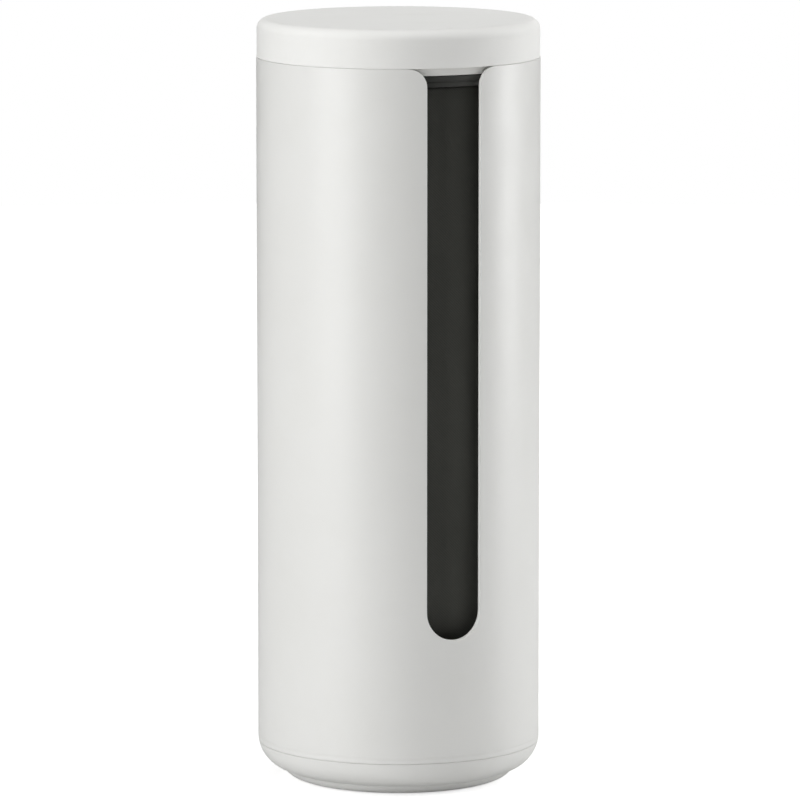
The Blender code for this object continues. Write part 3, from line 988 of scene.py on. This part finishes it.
def build_camera():
    """A long lens, a little above the canister."""
    data = bpy.data.cameras.new("camera")
    data.lens = CAMERA_LENS
    data.sensor_width = 36.0
    data.clip_start = 0.1
    data.clip_end = 50.0
    camera = bpy.data.objects.new("camera", data)
    bpy.context.scene.collection.objects.link(camera)
    camera.location = (
        CAMERA_DISTANCE * math.sin(CAMERA_AZIMUTH),
        -CAMERA_DISTANCE * math.cos(CAMERA_AZIMUTH),
        CAMERA_HEIGHT,
    )
    middle = (cad_low.z + cad_high.z) / 2
    side = Vector((math.cos(CAMERA_AZIMUTH), math.sin(CAMERA_AZIMUTH), 0.0))
    target = side * AIM_SIDE + Vector((0.0, 0.0, middle - AIM_DROP))
    camera.rotation_mode = "QUATERNION"
    camera.rotation_quaternion = (target - camera.location).to_track_quat("-Z", "Y")
    bpy.context.scene.camera = camera


def softbox(name, azimuth, elevation, distance, width, height, power):
    """A rectangular light that faces the canister, at an azimuth from the camera's side."""
    data = bpy.data.lights.new(name, "AREA")
    data.shape = "RECTANGLE"
    data.size = width
    data.size_y = height
    data.energy = power
    light = bpy.data.objects.new(name, data)
    bpy.context.scene.collection.objects.link(light)
    angle = CAMERA_AZIMUTH + math.radians(azimuth)
    level = math.radians(elevation)
    flat = math.cos(level)
    back = Vector((math.sin(angle) * flat, -math.cos(angle) * flat, math.sin(level)))
    middle = Vector((0.0, 0.0, cad_high.z / 2))
    light.location = middle + back * distance
    light.rotation_mode = "QUATERNION"
    light.rotation_quaternion = back.to_track_quat("Z", "Y")


def seen_directly(tree, value_otherwise, value_seen):
    """A number that differs for what the camera sees directly."""
    path = tree.nodes.new("ShaderNodeLightPath")
    level = tree.nodes.new("ShaderNodeMapRange")
    level.inputs["To Min"].default_value = value_otherwise
    level.inputs["To Max"].default_value = value_seen
    tree.links.new(path.outputs["Is Camera Ray"], level.inputs["Value"])
    return level.outputs[0]


def build_floor():
    """A pale floor, lifted to white away from the canister's soft shadow."""
    mesh = bpy.data.meshes.new("floor")
    shape = bmesh.new()
    bmesh.ops.create_circle(shape, cap_ends=True, segments=96, radius=FLOOR_R)
    shape.to_mesh(mesh)
    shape.free()
    floor = bpy.data.objects.new("floor", mesh)
    floor.location.z = cad_low.z - FLOOR_DROP
    bpy.context.scene.collection.objects.link(floor)
    n = Nodes("pale_floor")
    away = n.add("VectorMath", {"operation": "LENGTH"}, _0=n.place()).outputs["Value"]
    lift = n.span(away, 0.1, 0.5, FLOOR_LIFT, 1.0)
    tone = n.noise(n.place(), 2.0, 2.0)
    material = n.finish(n.blend(tone, *FLOOR_TONES), 0.85, tone, 0.02 * MM, 0.1)
    seen = seen_directly(n.tree, 0.0, 1.0)
    n.put(n.shader.inputs["Emission Color"], WHITE)
    n.put(n.shader.inputs["Emission Strength"], n.maths("MULTIPLY", seen, lift))
    mesh.materials.append(material)


def build_studio():
    """White world, pale floor and soft lights."""
    world = bpy.data.worlds.new("studio")
    bpy.context.scene.world = world
    world.use_nodes = True
    tree = world.node_tree
    background = tree.nodes["Background"]
    background.inputs["Color"].default_value = WHITE
    tree.links.new(seen_directly(tree, WORLD_FILL, 1.0), background.inputs["Strength"])
    build_floor()
    for box in SOFTBOXES:
        softbox(*box)
    bpy.context.scene.view_settings.view_transform = "Standard"


build_object()
build_camera()
build_studio()
